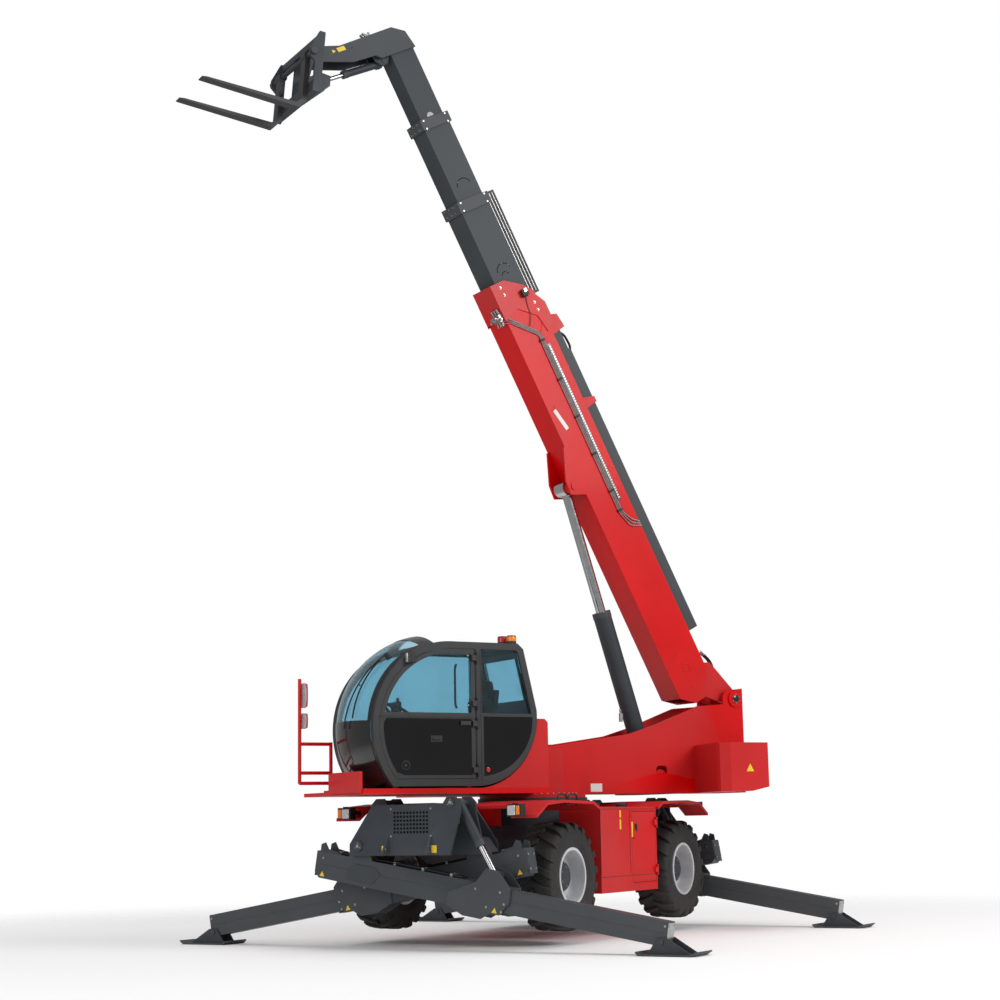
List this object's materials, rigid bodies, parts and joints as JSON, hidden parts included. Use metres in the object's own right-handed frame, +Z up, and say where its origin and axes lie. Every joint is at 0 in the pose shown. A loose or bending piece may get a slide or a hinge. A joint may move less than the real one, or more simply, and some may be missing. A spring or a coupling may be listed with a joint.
{
  "type": "rotating telehandler",
  "caption": "Red rotating telehandler on extended stabilisers, its telescopic boom raised beside a round-fronted cab, with pallet forks at the head of the boom.",
  "frame": {"origin": "on the ground under the middle of the machine's box", "axes": "+X to the carrier's front, +Y to its left, +Z up"},
  "size_m": [6.7937, 6.4916, 10.6816],
  "materials": {
    "red_paint": "gloss",
    "dark_paint": "satin",
    "black_paint": "gloss",
    "chrome_rod": "polished",
    "silver_rim": "satin",
    "tyre_rubber": "matte",
    "tinted_glass": "gloss",
    "black_plastic": "matte",
    "fork_steel": "satin"
  },
  "bodies": {
    "carrier": {"chassis": "dark_paint", "driveline": "dark_paint", "front_stabiliser_housing": "dark_paint", "rear_stabiliser_housing": "dark_paint", "side_boxes": "red_paint", "mudguards": "red_paint", "road_lamps": "black_plastic"},
    "service_door": {"service_door": "red_paint"},
    "front_left_knuckle": {"front_left_knuckle": "dark_paint"},
    "front_left_wheel": {"front_left_rim": "silver_rim", "front_left_tyre": "tyre_rubber"},
    "front_right_knuckle": {"front_right_knuckle": "dark_paint"},
    "front_right_wheel": {"front_right_rim": "silver_rim", "front_right_tyre": "tyre_rubber"},
    "rear_left_knuckle": {"rear_left_knuckle": "dark_paint"},
    "rear_left_wheel": {"rear_left_rim": "silver_rim", "rear_left_tyre": "tyre_rubber"},
    "rear_right_knuckle": {"rear_right_knuckle": "dark_paint"},
    "rear_right_wheel": {"rear_right_rim": "silver_rim", "rear_right_tyre": "tyre_rubber"},
    "front_left_beam": {"front_left_beam": "dark_paint"},
    "front_left_leg": {"front_left_leg": "dark_paint"},
    "front_left_foot": {"front_left_foot": "dark_paint"},
    "front_left_ram_barrel": {"front_left_ram_barrel": "dark_paint"},
    "front_left_ram_rod": {"front_left_ram_rod": "chrome_rod"},
    "front_right_beam": {"front_right_beam": "dark_paint"},
    "front_right_leg": {"front_right_leg": "dark_paint"},
    "front_right_foot": {"front_right_foot": "dark_paint"},
    "front_right_ram_barrel": {"front_right_ram_barrel": "dark_paint"},
    "front_right_ram_rod": {"front_right_ram_rod": "chrome_rod"},
    "rear_right_beam": {"rear_right_beam": "dark_paint"},
    "rear_right_leg": {"rear_right_leg": "dark_paint"},
    "rear_right_foot": {"rear_right_foot": "dark_paint"},
    "rear_right_ram_barrel": {"rear_right_ram_barrel": "dark_paint"},
    "rear_right_ram_rod": {"rear_right_ram_rod": "chrome_rod"},
    "rear_left_beam": {"rear_left_beam": "dark_paint"},
    "rear_left_leg": {"rear_left_leg": "dark_paint"},
    "rear_left_foot": {"rear_left_foot": "dark_paint"},
    "rear_left_ram_barrel": {"rear_left_ram_barrel": "dark_paint"},
    "rear_left_ram_rod": {"rear_left_ram_rod": "chrome_rod"},
    "turret": {"turret_frame": "red_paint", "counterweight": "red_paint", "cab_cowl": "red_paint", "cab_shell": "black_paint", "cab_glass": "tinted_glass", "operator_seat": "black_plastic", "guard_rail": "red_paint"},
    "cab_door": {"cab_door": "black_paint", "door_glass": "tinted_glass"},
    "boom_base": {"base_section": "red_paint", "hose_carrier": "dark_paint"},
    "boom_second": {"second_section": "dark_paint"},
    "boom_third": {"third_section": "dark_paint"},
    "boom_fourth": {"fourth_section": "dark_paint"},
    "lift_rod": {"lift_rod": "chrome_rod"},
    "lift_barrel": {"lift_barrel": "dark_paint"},
    "fork_carriage": {"carriage": "dark_paint", "forks": "fork_steel"},
    "tilt_barrel": {"tilt_barrel": "dark_paint"},
    "tilt_rod": {"tilt_rod": "chrome_rod"}
  },
  "joints": [
    {"name": "service_door_hinge", "type": "hinge", "parent": "carrier", "child": "service_door", "pos_m": [-1.264, 1.254, 0.99], "axis": [0, 0, 1], "range_deg": [0, 100]},
    {"name": "front_left_steering", "type": "hinge", "parent": "carrier", "child": "front_left_knuckle", "pos_m": [0.858, 0.85, 0.71], "axis": [0, 0, 1], "range_deg": [-18, 18]},
    {"name": "front_left_wheel_spin", "type": "hinge", "parent": "front_left_knuckle", "child": "front_left_wheel", "pos_m": [0.858, 1.0575, 0.71], "axis": [0, 1, 0], "continuous": true},
    {"name": "front_right_steering", "type": "hinge", "parent": "carrier", "child": "front_right_knuckle", "pos_m": [0.858, -0.85, 0.71], "axis": [0, 0, 1], "range_deg": [-18, 18]},
    {"name": "front_right_wheel_spin", "type": "hinge", "parent": "front_right_knuckle", "child": "front_right_wheel", "pos_m": [0.858, -1.0575, 0.71], "axis": [0, 1, 0], "continuous": true},
    {"name": "rear_left_steering", "type": "hinge", "parent": "carrier", "child": "rear_left_knuckle", "pos_m": [-1.982, 0.85, 0.71], "axis": [0, 0, 1], "range_deg": [-18, 18]},
    {"name": "rear_left_wheel_spin", "type": "hinge", "parent": "rear_left_knuckle", "child": "rear_left_wheel", "pos_m": [-1.982, 1.0575, 0.71], "axis": [0, 1, 0], "continuous": true},
    {"name": "rear_right_steering", "type": "hinge", "parent": "carrier", "child": "rear_right_knuckle", "pos_m": [-1.982, -0.85, 0.71], "axis": [0, 0, 1], "range_deg": [-18, 18]},
    {"name": "rear_right_wheel_spin", "type": "hinge", "parent": "rear_right_knuckle", "child": "rear_right_wheel", "pos_m": [-1.982, -1.0575, 0.71], "axis": [0, 1, 0], "continuous": true},
    {"name": "front_left_beam_swing", "type": "hinge", "parent": "carrier", "child": "front_left_beam", "pos_m": [1.998, -0.606, 1.068], "axis": [1, 0, 0], "range_deg": [-3, 12]},
    {"name": "front_left_leg_slide", "type": "slide", "parent": "front_left_beam", "child": "front_left_leg", "axis": [0, 0.986, -0.1668], "range_m": [-1.67, 0.12]},
    {"name": "front_left_foot_tilt", "type": "hinge", "parent": "front_left_leg", "child": "front_left_foot", "pos_m": [1.998, 2.84578, 0.1292], "axis": [1, 0, 0], "range_deg": [-12, 12]},
    {"name": "front_left_ram_pivot", "type": "hinge", "parent": "carrier", "child": "front_left_ram_barrel", "pos_m": [1.998, 0.541, 1.5], "axis": [1, 0, 0], "range_deg": [-8, 24]},
    {"name": "front_left_ram_slide", "type": "slide", "parent": "front_left_ram_barrel", "child": "front_left_ram_rod", "axis": [0, 0.4978, -0.8673], "range_m": [-0.28, 0.08]},
    {"name": "front_right_beam_swing", "type": "hinge", "parent": "carrier", "child": "front_right_beam", "pos_m": [1.668, 0.606, 1.068], "axis": [-1, 0, 0], "range_deg": [-3, 12]},
    {"name": "front_right_leg_slide", "type": "slide", "parent": "front_right_beam", "child": "front_right_leg", "axis": [0, -0.986, -0.1668], "range_m": [-1.67, 0.12]},
    {"name": "front_right_foot_tilt", "type": "hinge", "parent": "front_right_leg", "child": "front_right_foot", "pos_m": [1.668, -2.84578, 0.1292], "axis": [-1, 0, 0], "range_deg": [-12, 12]},
    {"name": "front_right_ram_pivot", "type": "hinge", "parent": "carrier", "child": "front_right_ram_barrel", "pos_m": [1.668, -0.541, 1.5], "axis": [-1, 0, 0], "range_deg": [-8, 24]},
    {"name": "front_right_ram_slide", "type": "slide", "parent": "front_right_ram_barrel", "child": "front_right_ram_rod", "axis": [0, -0.4978, -0.8673], "range_m": [-0.28, 0.08]},
    {"name": "rear_right_beam_swing", "type": "hinge", "parent": "carrier", "child": "rear_right_beam", "pos_m": [-3.122, 0.606, 1.068], "axis": [-1, 0, 0], "range_deg": [-3, 12]},
    {"name": "rear_right_leg_slide", "type": "slide", "parent": "rear_right_beam", "child": "rear_right_leg", "axis": [0, -0.986, -0.1668], "range_m": [-1.67, 0.12]},
    {"name": "rear_right_foot_tilt", "type": "hinge", "parent": "rear_right_leg", "child": "rear_right_foot", "pos_m": [-3.122, -2.84578, 0.1292], "axis": [-1, 0, 0], "range_deg": [-12, 12]},
    {"name": "rear_right_ram_pivot", "type": "hinge", "parent": "carrier", "child": "rear_right_ram_barrel", "pos_m": [-3.122, -0.541, 1.5], "axis": [-1, 0, 0], "range_deg": [-8, 24]},
    {"name": "rear_right_ram_slide", "type": "slide", "parent": "rear_right_ram_barrel", "child": "rear_right_ram_rod", "axis": [0, -0.4978, -0.8673], "range_m": [-0.28, 0.08]},
    {"name": "rear_left_beam_swing", "type": "hinge", "parent": "carrier", "child": "rear_left_beam", "pos_m": [-2.792, -0.606, 1.068], "axis": [1, 0, 0], "range_deg": [-3, 12]},
    {"name": "rear_left_leg_slide", "type": "slide", "parent": "rear_left_beam", "child": "rear_left_leg", "axis": [0, 0.986, -0.1668], "range_m": [-1.67, 0.12]},
    {"name": "rear_left_foot_tilt", "type": "hinge", "parent": "rear_left_leg", "child": "rear_left_foot", "pos_m": [-2.792, 2.84578, 0.1292], "axis": [1, 0, 0], "range_deg": [-12, 12]},
    {"name": "rear_left_ram_pivot", "type": "hinge", "parent": "carrier", "child": "rear_left_ram_barrel", "pos_m": [-2.792, 0.541, 1.5], "axis": [1, 0, 0], "range_deg": [-8, 24]},
    {"name": "rear_left_ram_slide", "type": "slide", "parent": "rear_left_ram_barrel", "child": "rear_left_ram_rod", "axis": [0, 0.4978, -0.8673], "range_m": [-0.28, 0.08]},
    {"name": "turret_slew", "type": "hinge", "parent": "carrier", "child": "turret", "pos_m": [-0.562, 0, 1.56], "axis": [0, 0, 1], "continuous": true},
    {"name": "cab_door_hinge", "type": "hinge", "parent": "turret", "child": "cab_door", "pos_m": [1.30009, 0.37523, 2.3], "axis": [0, 0, 1], "range_deg": [0, 90]},
    {"name": "boom_lift", "type": "hinge", "parent": "turret", "child": "boom_base", "pos_m": [-2.97821, 1.395, 2.75], "axis": [-0.5, -0.866, 0], "range_deg": [-59.2, 14]},
    {"name": "second_section_slide", "type": "slide", "parent": "boom_base", "child": "boom_second", "axis": [0.4039, -0.2332, 0.8846], "range_m": [-0.75, 3.9]},
    {"name": "third_section_slide", "type": "slide", "parent": "boom_second", "child": "boom_third", "axis": [0.4039, -0.2332, 0.8846], "range_m": [-0.75, 3.9]},
    {"name": "fourth_section_slide", "type": "slide", "parent": "boom_third", "child": "boom_fourth", "axis": [0.4039, -0.2332, 0.8846], "range_m": [-0.75, 3.9]},
    {"name": "lift_cylinder_pivot", "type": "hinge", "parent": "boom_base", "child": "lift_rod", "pos_m": [-1.03906, 0.27543, 5.27515], "axis": [-0.5, -0.866, 0], "range_deg": [-8, 4]},
    {"name": "lift_cylinder_slide", "type": "slide", "parent": "lift_rod", "child": "lift_barrel", "axis": [-0.2633, 0.152, -0.9527], "range_m": [-1.46, 0.36]},
    {"name": "carriage_tilt", "type": "hinge", "parent": "boom_fourth", "child": "fork_carriage", "pos_m": [1.86287, -1.4, 10.15], "axis": [0.5, 0.866, 0], "range_deg": [-62, 35]},
    {"name": "tilt_cylinder_pivot", "type": "hinge", "parent": "boom_fourth", "child": "tilt_barrel", "pos_m": [1.0979, -0.95834, 10.26188], "axis": [0.5, 0.866, 0], "range_deg": [-25, 25]},
    {"name": "tilt_cylinder_slide", "type": "slide", "parent": "tilt_barrel", "child": "tilt_rod", "axis": [0.7793, -0.4499, -0.4363], "range_m": [-0.2, 0.32]}
  ],
  "couplings": [
    {"joint": "front_right_steering", "follows": "front_left_steering", "ratio": 1},
    {"joint": "rear_right_steering", "follows": "rear_left_steering", "ratio": 1},
    {"joint": "front_left_ram_pivot", "follows": "front_left_beam_swing", "ratio": 1.4303},
    {"joint": "front_left_ram_slide", "follows": "front_left_beam_swing", "m_per_rad": -1.1847},
    {"joint": "front_right_ram_pivot", "follows": "front_right_beam_swing", "ratio": 1.4303},
    {"joint": "front_right_ram_slide", "follows": "front_right_beam_swing", "m_per_rad": -1.1847},
    {"joint": "rear_right_ram_pivot", "follows": "rear_right_beam_swing", "ratio": 1.4303},
    {"joint": "rear_right_ram_slide", "follows": "rear_right_beam_swing", "m_per_rad": -1.1847},
    {"joint": "rear_left_ram_pivot", "follows": "rear_left_beam_swing", "ratio": 1.4303},
    {"joint": "rear_left_ram_slide", "follows": "rear_left_beam_swing", "m_per_rad": -1.1847},
    {"joint": "third_section_slide", "follows": "second_section_slide", "ratio": 1},
    {"joint": "fourth_section_slide", "follows": "second_section_slide", "ratio": 1},
    {"joint": "lift_cylinder_pivot", "follows": "boom_lift", "ratio": 0.08071},
    {"joint": "lift_cylinder_slide", "follows": "boom_lift", "m_per_rad": 1.3928},
    {"joint": "tilt_cylinder_pivot", "follows": "carriage_tilt", "ratio": 0.05866},
    {"joint": "tilt_cylinder_slide", "follows": "carriage_tilt", "m_per_rad": -0.24866}
  ]
}
